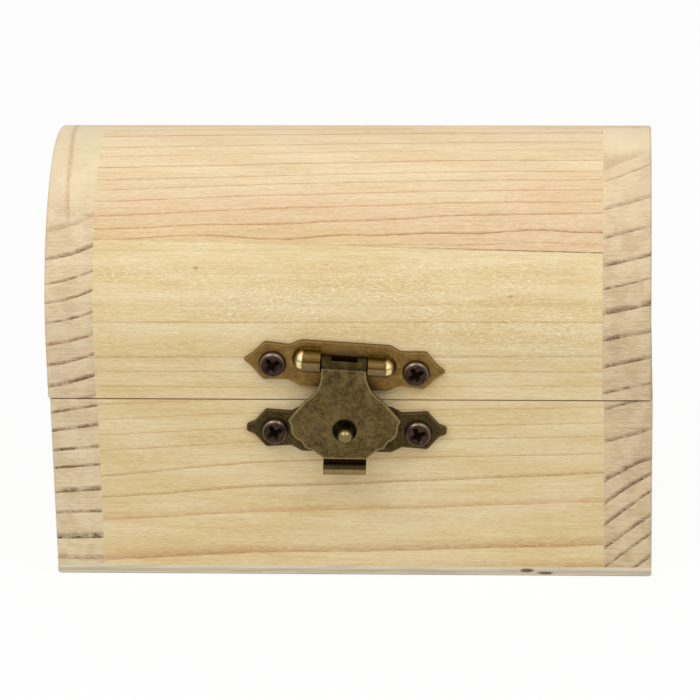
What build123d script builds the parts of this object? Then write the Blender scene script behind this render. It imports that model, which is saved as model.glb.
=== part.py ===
from build123d import *
import math
import os

# A small pine treasure chest with a half-round lid and an antiqued brass hasp.
# Millimetres. The front faces -Y, +X is to its right as seen from the front, +Z is up.
# The origin is at the middle of the underside.

# Chest
chest_width = 100.0
chest_depth = 55.0
body_height = 32.4
seam_gap = 0.25
lid_foot_height = 8.4
board_thickness = 8.0
bottom_thickness = 1.8
bottom_arris = 0.4
lid_side_shift = 0.3
outer_arris = 0.3

# Glue joint under the top board, measured above the seam
joint_height = 25.2
joint_slope_deg = 1.2

# Wood screws of the latch
latch_screw_head_radius = 2.28
latch_screw_head_height = 1.3
latch_screw_shank_radius = 1.0
latch_screw_length = 7.0

# Stamped plates of the latch, both struck by the same die
sheet = 0.65
plate_length = 33.6
plate_middle_length = 14.8
plate_middle_height = 8.1
plate_notch_span = 18.4
plate_notch_height = 6.1
plate_shoulder_span = 26.8
plate_shoulder_height = 6.7
plate_neck_span = 30.6
plate_neck_height = 2.2
plate_corner_round = 0.7
plate_tip_round = 0.45
plate_screw_span = 23.8
plate_screw_drop = 0.4

# Where the hasp plate sits on the lid, and where the catch plate sits on the body
latch_shift = -0.8
hasp_plate_rise = 6.3
hasp_tilt_deg = -3.9
catch_shift = -0.65
catch_plate_drop = 5.0
catch_tilt_deg = -0.9

# Hasp pin, its pressed bosses and the rolled knuckle of the flap
hasp_pin_radius = 0.8
pin_clearance = 0.05
hasp_pin_rise = 0.5
knuckle_wood_clearance = 0.25
knuckle_length = 7.4
knuckle_side_clearance = 0.25
boss_length = 4.3
boss_end_bevel = 1.0
window_clearance = 0.55
knuckle_slot_length = 4.1
knuckle_slot_width = 1.0
knuckle_slot_angle_deg = 62.0
knuckle_seam = 0.25

# Outline of the flap, measured from the pin and from its middle line
flap_lean_deg = -0.5
flap_neck_drop = 1.2
flap_flare_half = 6.4
flap_flare_drop = 5.8
flap_point_half = 9.3
flap_point_drop = 9.3
flap_waist_half = 8.85
flap_waist_drop = 10.3
flap_bulge_half = 8.65
flap_bulge_drop = 11.8
flap_notch_half = 7.2
flap_notch_drop = 13.1
flap_lobe_half = 6.5
flap_lobe_drop = 14.3
flap_heel_half = 5.4
flap_heel_drop = 14.7
flap_length = 16.2
flap_hole_drop = 11.1
flap_hole_radius = 2.0

# Finger tab: an S bend and a short lip
tab_width = 7.1
tab_bend_radius = 0.95
tab_bend_deg = 80.0
tab_lip = 0.35

# Catch knob, riveted through the catch plate
knob_ball_radius = 1.3
knob_neck_radius = 0.75
knob_collar_radius = 1.5
knob_collar_height = 0.7
knob_stand_out = 1.8
knob_rise = 0.85
knob_rivet_radius = 0.7
rivet_clearance = 0.05

# Butt hinges on the back, each set in from its end of the chest
hinge_inset = 22.0
hinge_length = 16.0
hinge_leaf_height = 6.2
hinge_sheet = 0.55
hinge_pin_radius = 0.6
hinge_knuckle_count = 3
hinge_knuckle_gap = 0.15
hinge_wood_clearance = 0.25
hinge_corner_cut = 0.8
hinge_brad_span = 10.0
hinge_brad_head_radius = 1.0
hinge_brad_head_height = 0.3
hinge_brad_shank_radius = 0.55
hinge_brad_length = 5.5

# Clearances and cuts
shank_clearance = 0.05
plate_hole_clearance = 0.15
overrun = 1.0

# Sizes that follow from those above
half_width = chest_width / 2
half_depth = chest_depth / 2
half_inner_width = half_width - board_thickness
half_inner_depth = half_depth - board_thickness
lid_base = body_height + seam_gap
arch_centre_height = lid_base + lid_foot_height
arch_radius = half_depth
hasp_knuckle_radius = hasp_pin_radius + pin_clearance + sheet
hasp_pin_depth = hasp_knuckle_radius + knuckle_wood_clearance
flap_front = hasp_pin_depth + hasp_knuckle_radius
hinge_knuckle_radius = hinge_pin_radius + pin_clearance + hinge_sheet
hinge_axis_depth = hinge_knuckle_radius + hinge_wood_clearance
hinge_axis_height = body_height + seam_gap / 2
hinge_axis_y = half_depth + hinge_axis_depth

# Working places on the front face, with outward as their third axis
front = Plane(origin=(0, -half_depth, 0), x_dir=(1, 0, 0), z_dir=(0, -1, 0))
hasp_place = front * Pos(latch_shift, lid_base + hasp_plate_rise) * Rot(0, 0, hasp_tilt_deg)
catch_place = front * Pos(catch_shift, body_height - catch_plate_drop) * Rot(0, 0, catch_tilt_deg)
hasp_pin_place = hasp_place * Pos(0, hasp_pin_rise, hasp_pin_depth)


def box_between(x0, x1, y0, y1, z0, z1):
    """A box between two corners, given axis by axis."""
    block = Box(x1 - x0, y1 - y0, z1 - z0, align=(Align.MIN, Align.MIN, Align.MIN))
    return Pos(x0, y0, z0) * block


def standing(radius, height):
    """A cylinder that stands on z = 0."""
    return Cylinder(radius, height, align=(Align.CENTER, Align.CENTER, Align.MIN))


def hanging(radius, depth):
    """A cylinder that hangs from z = 0."""
    return Cylinder(radius, depth, align=(Align.CENTER, Align.CENTER, Align.MAX))


def shank_hole(radius, length):
    """The pilot hole for a shank that hangs from z = 0."""
    return hanging(radius + shank_clearance, length + shank_clearance)


# Chest body


def body_end_board(side):
    """An end board of the body, which covers the ends of the front and back boards."""
    inner = half_inner_width
    x0 = min(side * inner, side * half_width)
    x1 = max(side * inner, side * half_width)
    board = box_between(x0, x1, -half_depth, half_depth, bottom_thickness, body_height)
    corners = board.edges().filter_by(Axis.Z).group_by(Axis.X)[-1 if side > 0 else 0]
    return chamfer(corners, outer_arris)


def body_long_board(outward):
    """The front (-1) or back (+1) board of the body."""
    y0 = min(outward * half_inner_depth, outward * half_depth)
    y1 = max(outward * half_inner_depth, outward * half_depth)
    return box_between(-half_inner_width, half_inner_width, y0, y1, bottom_thickness, body_height)


def bottom_panel():
    """The thin plywood bottom, glued under the four boards and eased at its lower edge."""
    panel = box_between(-half_width, half_width, -half_depth, half_depth, 0, bottom_thickness)
    return chamfer(panel.edges().group_by(Axis.Z)[0], bottom_arris)


# Chest lid


def lid_profile():
    """The end view of the lid: a straight foot and a half-round arch."""
    left = (-half_depth, lid_base)
    right = (half_depth, lid_base)
    spring_left = (-half_depth, arch_centre_height)
    spring_right = (half_depth, arch_centre_height)
    crown = (0, arch_centre_height + arch_radius)
    foot = Polyline(spring_left, left, right, spring_right)
    arch = ThreePointArc(spring_right, crown, spring_left)
    return Plane.YZ * make_face(foot + arch)


def lid_block(x0, x1):
    """A solid length of the lid profile from x0 to x1, moved by the small slip of the lid."""
    return Pos(x0 - lid_side_shift, 0, 0) * extrude(lid_profile(), x1 - x0, dir=(1, 0, 0))


def above_joint():
    """The space above the sloping glue joint of the top board."""
    space = Box(2 * chest_width, 2 * chest_depth, chest_depth, align=(Align.CENTER, Align.CENTER, Align.MIN))
    return Pos(0, 0, lid_base + joint_height) * Rot(0, joint_slope_deg, 0) * space


def lid_end_board(side):
    """An arched end board of the lid."""
    x0 = min(side * half_inner_width, side * half_width)
    board = lid_block(x0, x0 + board_thickness)
    rim = board.faces().sort_by(Axis.X)[-1 if side > 0 else 0]
    return chamfer(rim.edges().sort_by(Axis.Z)[1:], outer_arris)


def lid_long_board(outward):
    """The front (-1) or back (+1) board of the lid: rounded outside, flat inside."""
    block = lid_block(-half_inner_width, half_inner_width)
    y0 = min(outward * half_inner_depth, outward * chest_depth)
    y1 = max(outward * half_inner_depth, outward * chest_depth)
    slab = box_between(-chest_width, chest_width, y0, y1, 0, arch_centre_height + chest_depth)
    return (block & slab) - above_joint()


def lid_top_board():
    """The top board, rounded above and flat below, which closes the lid."""
    return lid_block(-half_inner_width, half_inner_width) & above_joint()


# Latch screws


def latch_screw():
    """A pan-head screw, its head resting on z = 0."""
    head = standing(latch_screw_head_radius, latch_screw_head_height)
    return head + hanging(latch_screw_shank_radius, latch_screw_length + sheet)


def latch_screw_places(plate_place):
    """The two screws of a plate, on its outer face."""
    reach = plate_screw_span / 2
    return [plate_place * Pos(side * reach, -plate_screw_drop, sheet) for side in (-1, 1)]


def latch_screws(plate_place):
    """Both screws of a plate."""
    return Compound([spot * latch_screw() for spot in latch_screw_places(plate_place)])


def drilled_for_latch(board, plate_place):
    """The board with the two pilot holes of a plate."""
    for spot in latch_screw_places(plate_place):
        board -= spot * shank_hole(latch_screw_shank_radius, latch_screw_length + sheet)
    return board


# Latch plates


def plate_face():
    """The scalloped outline that both plates share, drawn by mirroring one quarter."""
    quarter = [
        (plate_middle_length / 2, plate_middle_height / 2),
        (plate_notch_span / 2, plate_notch_height / 2),
        (plate_shoulder_span / 2, plate_shoulder_height / 2),
        (plate_neck_span / 2, plate_neck_height / 2),
    ]
    tip = (plate_length / 2, 0)
    upper = quarter + [tip] + [(x, -y) for x, y in reversed(quarter)]
    lower = [(-x, y) for x, y in reversed(upper)]
    face = make_face(Polyline(*upper, *lower, close=True))
    tips = face.vertices().sort_by(Axis.X)
    ends = ShapeList([tips[0], tips[-1]])
    face = fillet(ends, plate_tip_round)
    others = [v for v in face.vertices() if abs(v.X) < plate_neck_span / 2 + plate_tip_round / 4]
    return fillet(others, plate_corner_round)


def bare_plate():
    """A flat plate with its two screw holes, its back on z = 0."""
    plate = extrude(plate_face(), sheet)
    reach = plate_screw_span / 2
    hole = Cylinder(latch_screw_shank_radius + plate_hole_clearance, sheet + 2 * overrun)
    for side in (-1, 1):
        plate = plate - Pos(side * reach, -plate_screw_drop, 0) * hole
    return plate


def boss(side):
    """A half-round boss pressed out of the plate over one end of the pin."""
    start = knuckle_length / 2 + knuckle_side_clearance
    outer = hasp_knuckle_radius
    body = Pos(0, 0, hasp_pin_depth / 2) * Box(boss_length, 2 * outer, hasp_pin_depth)
    ridge = Pos(0, 0, hasp_pin_depth) * Rot(0, 90, 0) * Cylinder(outer, boss_length)
    shell = body + ridge
    far = shell.faces().sort_by(Axis.X)[-1]
    rim = far.edges().sort_by(Axis.Z)[1:]
    shell = chamfer(rim, boss_end_bevel)
    middle = start + boss_length / 2
    shell = Pos(middle, hasp_pin_rise, 0) * shell
    return shell if side > 0 else mirror(shell, about=Plane.YZ)


def pin_channel():
    """The hollow under both bosses: round over the pin and open to the wood."""
    bore = hasp_pin_radius + pin_clearance
    reach = hasp_pin_length() + 2 * pin_clearance
    tunnel = Pos(0, hasp_pin_rise, hasp_pin_depth) * Rot(0, 90, 0) * Cylinder(bore, reach)
    slot = Pos(0, hasp_pin_rise, (hasp_pin_depth - overrun) / 2)
    slot = slot * Box(reach, 2 * bore, hasp_pin_depth + overrun)
    return tunnel + slot


def hasp_pin_length():
    """The pin reaches into both bosses as far as their end walls."""
    return knuckle_length + 2 * (knuckle_side_clearance + boss_length - sheet)


def hasp_plate():
    """The upper plate, with two pressed bosses and the window that the knuckle turns in."""
    plate = bare_plate()
    for side in (-1, 1):
        plate = plate + boss(side)
    window_width = knuckle_length + 2 * knuckle_side_clearance
    window_height = 2 * (hasp_knuckle_radius + window_clearance)
    window = Pos(0, hasp_pin_rise, 0) * Box(window_width, window_height, 2 * (sheet + overrun))
    return hasp_place * (plate - window - pin_channel())


def hasp_pin():
    """The wire pin that the flap turns on, held in the bosses."""
    return hasp_pin_place * Rot(0, 90, 0) * Cylinder(hasp_pin_radius, hasp_pin_length())


def catch_plate():
    """The lower plate, with the hole that the knob is riveted through."""
    hole = Cylinder(knob_rivet_radius + rivet_clearance, sheet + 2 * overrun)
    return catch_place * (bare_plate() - Pos(0, knob_rise, 0) * hole)


def catch_knob():
    """The turned knob: rivet, collar, waist and ball."""
    ball_height = flap_front + knob_stand_out - sheet
    waist_top = ball_height - math.sqrt(knob_ball_radius**2 - knob_neck_radius**2)
    collar_top = knob_collar_height
    neck = (knob_neck_radius, waist_top)
    edge = Polyline(
        (0, -sheet),
        (knob_rivet_radius, -sheet),
        (knob_rivet_radius, 0),
        (knob_collar_radius, 0),
        (knob_neck_radius, collar_top),
        neck,
    )
    ball = ThreePointArc(neck, (knob_ball_radius, ball_height), (0, ball_height + knob_ball_radius))
    axis = Line((0, ball_height + knob_ball_radius), (0, -sheet))
    profile = Plane.XZ * make_face(edge + ball + axis)
    return catch_place * Pos(0, knob_rise, sheet) * revolve(profile, Axis.Z)


# Flap


def flap_outline():
    """The flat of the flap, from the pin down to the tab, mirrored about its middle line."""
    half_knuckle = knuckle_length / 2
    half_tab = tab_width / 2
    top = (half_knuckle, 0)
    neck = (half_knuckle, -flap_neck_drop)
    flare = (flap_flare_half, -flap_flare_drop)
    point = (flap_point_half, -flap_point_drop)
    waist = (flap_waist_half, -flap_waist_drop)
    bulge = (flap_bulge_half, -flap_bulge_drop)
    notch = (flap_notch_half, -flap_notch_drop)
    lobe = (flap_lobe_half, -flap_lobe_drop)
    heel = (flap_heel_half, -flap_heel_drop)
    tab = (half_tab, -flap_length)
    side = Line(top, neck)
    side += TangentArc(neck, flare, tangent=(0, -1))
    side += Polyline(flare, point, waist)
    side += ThreePointArc(waist, bulge, notch)
    side += Polyline(notch, lobe, heel, tab, (0, -flap_length))
    return make_face(side + mirror(side, about=Plane.YZ) + Line((-half_knuckle, 0), top))


def rolled_knuckle():
    """The knuckle rolled round the pin, centred on its axis, with a slot and the seam of the roll."""
    tube = Cylinder(hasp_knuckle_radius, knuckle_length)
    tube = tube - Cylinder(hasp_pin_radius + pin_clearance, knuckle_length + overrun)
    tube = Rot(0, 90, 0) * tube
    deep = 2 * hasp_knuckle_radius
    slot = Pos(0, 0, deep / 2) * Box(knuckle_slot_length, knuckle_slot_width, deep)
    seam = Pos(0, 0, -deep / 2) * Box(knuckle_length + overrun, knuckle_seam, deep)
    return tube - Rot(90 - knuckle_slot_angle_deg, 0, 0) * Rot(-90, 0, 0) * slot - seam


def finger_tab():
    """The S-bent tab with its short lip."""
    bend = math.radians(tab_bend_deg)
    out = tab_bend_radius * (1 - math.cos(bend))
    drop = tab_bend_radius * math.sin(bend)
    middle = sheet / 2
    start = (-flap_length, middle)
    turn = (-flap_length - drop, middle + out)
    end = (-flap_length - 2 * drop, middle + 2 * out)
    lip = (end[0] - tab_lip, end[1])
    path = TangentArc(start, turn, tangent=(-1, 0))
    path += TangentArc(end, turn, tangent=(1, 0))
    path += Line(end, lip)
    return extrude(Plane.YZ * trace(path, sheet), tab_width / 2, both=True)


def hasp_flap():
    """The flap: rolled knuckle, stamped flat with its hole, and the finger tab."""
    flat = extrude(flap_outline(), sheet)
    flat = flat - Pos(0, -flap_hole_drop, 0) * Cylinder(flap_hole_radius, 2 * (sheet + overrun))
    rise = hasp_knuckle_radius - sheet
    lean = Rot(0, 0, flap_lean_deg - hasp_tilt_deg)
    blade = lean * Pos(0, 0, rise) * (flat + finger_tab())
    return hasp_pin_place * (blade + rolled_knuckle())


# Hinges


def hinge_place(side):
    """The middle of one hinge, on its axis."""
    return Pos(side * (half_width - hinge_inset), hinge_axis_y, hinge_axis_height)


def knuckle_spans(first):
    """Start and end along the axis of every second knuckle, from the given one on."""
    pitch = (hinge_length + hinge_knuckle_gap) / hinge_knuckle_count
    starts = [index * pitch - hinge_length / 2 for index in range(first, hinge_knuckle_count, 2)]
    return [(start, start + pitch - hinge_knuckle_gap) for start in starts]


def leaf_edge():
    """How far from the axis a leaf starts, clear of the knuckles of the other leaf."""
    return hinge_knuckle_radius + hinge_knuckle_gap


def hinge_brad_places(direction):
    """The two brads of a leaf, on its outer face, with outward as their axis."""
    height = direction * (leaf_edge() + hinge_leaf_height) / 2
    reach = hinge_brad_span / 2
    outer = hinge_sheet - hinge_axis_depth
    return [Pos(x, outer, height) * Rot(-90, 0, 0) for x in (-reach, reach)]


def hinge_leaf(direction, first):
    """A leaf, below (-1) or above (+1) the axis, with its rolled knuckles."""
    back_y = -hinge_axis_depth
    front_y = back_y + hinge_sheet
    near, far = sorted((direction * leaf_edge(), direction * hinge_leaf_height))
    half_length = hinge_length / 2
    leaf = box_between(-half_length, half_length, back_y, front_y, near, far)
    outer_end = leaf.edges().filter_by(Axis.Y).group_by(Axis.Z)[0 if direction < 0 else -1]
    leaf = chamfer(outer_end, hinge_corner_cut)
    low, high = sorted((direction * seam_gap / 2, direction * leaf_edge()))
    for start, end in knuckle_spans(first):
        middle = Pos((start + end) / 2, 0, 0) * Rot(0, 90, 0)
        leaf += box_between(start, end, back_y, front_y, low, high)
        leaf += middle * Cylinder(hinge_knuckle_radius, end - start)
    leaf -= Rot(0, 90, 0) * Cylinder(hinge_pin_radius + pin_clearance, hinge_length + overrun)
    for spot in hinge_brad_places(direction):
        leaf -= spot * hanging(hinge_brad_shank_radius + shank_clearance, hinge_sheet)
    return leaf


def hinge_pin():
    """The plain hinge pin, flush with the outer knuckles."""
    return Rot(0, 90, 0) * Cylinder(hinge_pin_radius, hinge_length)


def hinge_brad():
    """A flat-headed brad, its head resting on z = 0."""
    head = standing(hinge_brad_head_radius, hinge_brad_head_height)
    return head + hanging(hinge_brad_shank_radius, hinge_brad_length + hinge_sheet)


def hinge_brads(direction):
    """The four brads of the body leaves (-1) or of the lid leaves (+1)."""
    brads = []
    for side in (-1, 1):
        for spot in hinge_brad_places(direction):
            brads.append(hinge_place(side) * spot * hinge_brad())
    return Compound(brads)


def drilled_for_hinges(board, direction):
    """The board with the four pilot holes of its hinge leaves."""
    for side in (-1, 1):
        for spot in hinge_brad_places(direction):
            hole = shank_hole(hinge_brad_shank_radius, hinge_brad_length + hinge_sheet)
            board -= hinge_place(side) * spot * hole
    return board


# Assembly

parts = {
    "bottom_panel": bottom_panel(),
    "body_front_board": drilled_for_latch(body_long_board(-1), catch_place),
    "body_back_board": drilled_for_hinges(body_long_board(1), -1),
    "body_left_end": body_end_board(-1),
    "body_right_end": body_end_board(1),
    "lid_front_board": drilled_for_latch(lid_long_board(-1), hasp_place),
    "lid_back_board": drilled_for_hinges(lid_long_board(1), 1),
    "lid_top_board": lid_top_board(),
    "lid_left_end": lid_end_board(-1),
    "lid_right_end": lid_end_board(1),
    "catch_plate": catch_plate(),
    "catch_knob": catch_knob(),
    "catch_plate_screws": latch_screws(catch_place),
    "hasp_plate": hasp_plate(),
    "hasp_pin": hasp_pin(),
    "hasp_plate_screws": latch_screws(hasp_place),
    "hasp_flap": hasp_flap(),
    "hinge_brads_body": hinge_brads(-1),
    "hinge_brads_lid": hinge_brads(1),
}
for side, word in ((-1, "left"), (1, "right")):
    parts[f"hinge_{word}_body_leaf"] = hinge_place(side) * hinge_leaf(-1, 1)
    parts[f"hinge_{word}_lid_leaf"] = hinge_place(side) * hinge_leaf(1, 0)
    parts[f"hinge_{word}_pin"] = hinge_place(side) * hinge_pin()

os.makedirs("parts", exist_ok=True)
for name, part in parts.items():
    part.label = name
    export_step(part, f"parts/{name}.step")

print("hasp pin axis", hasp_pin_place.position, "lid axis", hinge_axis_y, hinge_axis_height)
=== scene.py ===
# %% [markdown]
# # A small pine treasure chest
# The chest is bare pine with a half-round lid, a thin plywood bottom and an antiqued brass hasp.
# The CAD model already holds every board, plate, screw and hinge at its full size, in metres.
# This notebook dresses that model: wood for the boards, and finer metalwork for the latch and hinges.

# %% Load the CAD model
import math
import bmesh
import bpy
from mathutils import Matrix, Vector


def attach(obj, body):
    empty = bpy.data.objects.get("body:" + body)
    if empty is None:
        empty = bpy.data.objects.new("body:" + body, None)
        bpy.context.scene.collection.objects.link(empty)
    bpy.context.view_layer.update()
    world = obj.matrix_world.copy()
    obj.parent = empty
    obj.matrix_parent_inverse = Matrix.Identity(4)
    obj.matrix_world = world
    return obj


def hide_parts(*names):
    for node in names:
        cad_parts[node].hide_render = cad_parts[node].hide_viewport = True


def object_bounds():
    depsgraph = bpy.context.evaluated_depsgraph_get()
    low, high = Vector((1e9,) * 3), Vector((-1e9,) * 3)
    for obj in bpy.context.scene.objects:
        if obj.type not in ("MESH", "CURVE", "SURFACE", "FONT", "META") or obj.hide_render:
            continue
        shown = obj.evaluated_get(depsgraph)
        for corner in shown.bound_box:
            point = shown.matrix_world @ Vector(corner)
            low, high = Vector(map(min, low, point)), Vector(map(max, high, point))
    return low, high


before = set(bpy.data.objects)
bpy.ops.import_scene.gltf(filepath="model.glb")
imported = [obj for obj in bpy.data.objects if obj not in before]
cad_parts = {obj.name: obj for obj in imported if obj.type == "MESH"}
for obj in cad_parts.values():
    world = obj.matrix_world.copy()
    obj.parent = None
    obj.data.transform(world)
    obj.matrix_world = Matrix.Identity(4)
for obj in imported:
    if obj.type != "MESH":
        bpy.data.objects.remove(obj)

cad_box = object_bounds()
box_mm = [[round(v * 1000, 2) for v in corner] for corner in cad_box]
print("CAD nodes:", len(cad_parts), "box in mm:", box_mm)

# %% [markdown]
# ## The camera
# The photograph was taken from far off with a long lens, from a little above and slightly from the right.
# The place, the lens and a small roll were found by laying the edges of the boards over the picture.
# A camera looks along its own -Z, so its matrix has the picture's right, its up and the way back as columns.

# %% The camera
aim = Vector((0.00015, -0.0275, 0.04155))
distance = 0.770
elevation = math.radians(23.95)
yaw = math.radians(3.5)
roll = math.radians(-1.21)
picture_width = 700
focal_length_in_pixels = 4672

level_share = math.cos(elevation)
back = Vector((math.sin(yaw) * level_share, -math.cos(yaw) * level_share, math.sin(elevation)))
level = Vector((math.cos(yaw), math.sin(yaw), 0.0))
upright = back.cross(level)
right = level * math.cos(roll) + upright * math.sin(roll)
up = upright * math.cos(roll) - level * math.sin(roll)

lens = bpy.data.cameras.new("long_lens")
lens.sensor_width = 36.0
lens.lens = lens.sensor_width * focal_length_in_pixels / picture_width
camera = bpy.data.objects.new("camera", lens)
turn = Matrix((right, up, back)).transposed().to_4x4()
camera.matrix_world = Matrix.Translation(aim + back * distance) @ turn
bpy.context.scene.collection.objects.link(camera)
bpy.context.scene.camera = camera
print("camera at", [round(v, 3) for v in camera.location], "lens", round(lens.lens, 1), "mm")

# %% [markdown]
# ## Writing shader maths as sums
# A material is a graph of nodes, which is tedious to wire by hand.
# The class Value wraps one output socket, and adding or multiplying two of them adds a Math node.
# The class Finish is a material in the making: its one method, node, adds any other kind of node.

# %% Values
class Value:
    """An output socket that can stand in a sum."""

    def __init__(self, finish, socket):
        self.finish = finish
        self.socket = socket

    def maths(self, operation, *others):
        """A Math node with this value as its first input."""
        return self.finish.node("ShaderNodeMath", {"operation": operation}, dict(enumerate((self, *others))))

    def __add__(self, other):
        return self.maths("ADD", other)

    __radd__ = __add__

    def __sub__(self, other):
        return self.maths("SUBTRACT", other)

    def __rsub__(self, other):
        return self.finish.node("ShaderNodeMath", {"operation": "SUBTRACT"}, {0: other, 1: self})

    def __mul__(self, other):
        return self.maths("MULTIPLY", other)

    __rmul__ = __mul__

    def __truediv__(self, other):
        return self.maths("DIVIDE", other)

    def __pow__(self, other):
        return self.maths("POWER", other)

    def fraction(self):
        return self.maths("FRACT")

    def size(self):
        return self.maths("ABSOLUTE")

    def least(self, other):
        return self.maths("MINIMUM", other)

    def most(self, other):
        return self.maths("MAXIMUM", other)

    def rise(self, low, high):
        """0 below low, 1 above high and a smooth step between."""
        settings = {"interpolation_type": "SMOOTHSTEP", "clamp": True}
        sockets = {"Value": self, "From Min": low, "From Max": high}
        return self.finish.node("ShaderNodeMapRange", settings, sockets)


# %% Finishes
class Finish:
    """A material in the making, round one Principled shader."""

    def __init__(self, name):
        self.material = bpy.data.materials.new(name)
        self.material.use_nodes = True
        self.tree = self.material.node_tree
        self.skin = self.tree.nodes["Principled BSDF"]

    def node(self, kind, settings=None, sockets=None, output=0):
        """Adds a node: its settings first, then the values or links of its sockets. Gives one output."""
        made = self.tree.nodes.new(kind)
        for key, setting in (settings or {}).items():
            if key == "stops":
                self.set_stops(made.color_ramp, setting)
            elif key == "ramp_interpolation":
                made.color_ramp.interpolation = setting
            else:
                setattr(made, key, setting)
        for key, source in (sockets or {}).items():
            self.plug(made.inputs[key], source)
        return Value(self, made.outputs[output])

    def plug(self, socket, source):
        """Links a socket to a value, or sets it to a number or a colour."""
        if isinstance(source, Value):
            self.tree.links.new(source.socket, socket)
        else:
            socket.default_value = source

    def set_stops(self, ramp, stops):
        """Gives a colour ramp its stops, each a place and a colour."""
        while len(ramp.elements) < len(stops):
            ramp.elements.new(1.0)
        for element, (place, shade) in zip(ramp.elements, stops):
            element.position = place
            element.color = (*shade, 1.0)

    def skin_with(self, **sockets):
        """Plugs values into the Principled shader, by its sockets' names."""
        for name, source in sockets.items():
            self.plug(self.skin.inputs[name.replace("_", " ")], source)

    def places(self):
        """The object coordinates in millimetres, one value per axis."""
        place = self.node("ShaderNodeTexCoord", output=3)
        return [self.node("ShaderNodeSeparateXYZ", None, {0: place}, axis) * 1000 for axis in range(3)]

    def noise(self, x, y, z, detail=2.0, roughness=0.5, scale=1.0):
        """Noise at a place. A small factor on an axis draws the noise out along it."""
        place = self.node("ShaderNodeCombineXYZ", None, {0: x, 1: y, 2: z})
        sockets = {"Vector": place, "Scale": scale, "Detail": detail, "Roughness": roughness}
        return self.node("ShaderNodeTexNoise", None, sockets)

    def ramp(self, share, stops):
        """A number that follows its stops, each a place and a level, as the share goes from 0 to 1."""
        grey_stops = [(place, (level,) * 3) for place, level in stops]
        return self.node("ShaderNodeValToRGB", {"stops": grey_stops}, {0: share})

    def mix(self, share, first, second, blending="MIX"):
        """A colour between two colours, or with another way of blending."""
        settings = {"data_type": "RGBA", "blend_type": blending}
        return self.node("ShaderNodeMix", settings, {0: share, 6: first, 7: second}, 2)

    def bump(self, height, distance, strength):
        """A relief whose height of 1 stands for a distance in metres."""
        sockets = {"Height": height, "Distance": distance, "Strength": strength}
        return self.node("ShaderNodeBump", None, sockets)


# %% Colours
def colour(red, green, blue):
    """A display colour of 0 to 255 as the linear colour that a shader takes."""
    shares = [v / 255 for v in (red, green, blue)]
    return (*[v / 12.92 if v <= 0.04045 else ((v + 0.055) / 1.055) ** 2.4 for v in shares], 1.0)


print("pale pine is", [round(v, 3) for v in colour(226, 205, 163)[:3]])

# %% [markdown]
# ## The floor and the light
# The chest stood on a white table under two soft lamps, left and right above the camera: the knob shows both.
# Two square area lamps do the same here, with a bright white room round them.
# To the camera and in the metal, room and floor look plain white, and the floor still takes a soft shadow.

# %% The floor
pure_white = (1.0, 1.0, 1.0, 1.0)


def lit_only_for(tree, share):
    """A factor that is share for the eye, for reflections and through glass, and 0 for what lights things."""
    path = tree.nodes.new("ShaderNodeLightPath")
    steps = [tree.nodes.new("ShaderNodeMath") for _ in range(3)]
    factor = path.outputs["Is Camera Ray"]
    for step, operation in zip(steps, ("MAXIMUM", "MAXIMUM", "MULTIPLY")):
        step.operation = operation
        tree.links.new(factor, step.inputs[0])
        factor = step.outputs[0]
    tree.links.new(path.outputs["Is Glossy Ray"], steps[0].inputs[1])
    tree.links.new(path.outputs["Is Transmission Ray"], steps[1].inputs[1])
    steps[2].inputs[1].default_value = share
    return factor


def two_faced(tree, kinds, share, output):
    """Joins a shader for the light and a white one for the eye, and gives the first."""
    tree.nodes.clear()
    shaders = [tree.nodes.new(kind) for kind in kinds]
    both = tree.nodes.new("ShaderNodeMixShader")
    tree.links.new(lit_only_for(tree, share), both.inputs[0])
    for i, shader in enumerate(shaders):
        tree.links.new(shader.outputs[0], both.inputs[i + 1])
    end = tree.nodes.new(output)
    tree.links.new(both.outputs[0], end.inputs["Surface"])
    shaders[1].inputs["Color"].default_value = pure_white
    shaders[1].inputs["Strength"].default_value = 1.0
    return shaders[0]


table_half_width = 3.0
table_paint = (0.86, 0.86, 0.86, 1.0)
table_whiteness = 0.93
shape = bmesh.new()
bmesh.ops.create_grid(shape, x_segments=1, y_segments=1, size=table_half_width)
mesh = bpy.data.meshes.new("table_top")
shape.to_mesh(mesh)
shape.free()
floor = bpy.data.objects.new("table_top", mesh)
bpy.context.scene.collection.objects.link(floor)
white = bpy.data.materials.new("table_white")
white.use_nodes = True
paint = two_faced(white.node_tree, ("ShaderNodeBsdfDiffuse", "ShaderNodeEmission"), table_whiteness,
                  "ShaderNodeOutputMaterial")
paint.inputs["Color"].default_value = table_paint
mesh.materials.append(white)
print("table", 2 * table_half_width, "m wide")

# %% The white room
room_strength = 0.44
room = bpy.data.worlds.new("white_room")
bpy.context.scene.world = room
room.use_nodes = True
soft = two_faced(room.node_tree, ("ShaderNodeBackground", "ShaderNodeBackground"), 1.0,
                 "ShaderNodeOutputWorld")
soft.inputs["Color"].default_value = pure_white
soft.inputs["Strength"].default_value = room_strength
bpy.context.scene.view_settings.view_transform = "Standard"
print("room light", room_strength)

# %% The two soft lamps
lamp_distance = 0.9
chest_middle = Vector((0, 0, 0.03))


def soft_lamp(name, azimuth_deg, elevation_deg, watts, side):
    """A square lamp that faces the chest. Azimuth 0 is in front, and 90 to the right."""
    azimuth = math.radians(azimuth_deg)
    height = math.radians(elevation_deg)
    share = math.cos(height)
    way = Vector((math.sin(azimuth) * share, -math.cos(azimuth) * share, math.sin(height)))
    facing = way.to_track_quat("Z", "Y").to_matrix().to_4x4()
    lamp = bpy.data.lights.new(name, "AREA")
    lamp.shape = "SQUARE"
    lamp.size = side
    lamp.energy = watts
    holder = bpy.data.objects.new(name, lamp)
    holder.matrix_world = Matrix.Translation(chest_middle + way * lamp_distance) @ facing
    bpy.context.scene.collection.objects.link(holder)
    print(name, "at", [round(v, 2) for v in holder.location], watts, "W")


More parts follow.
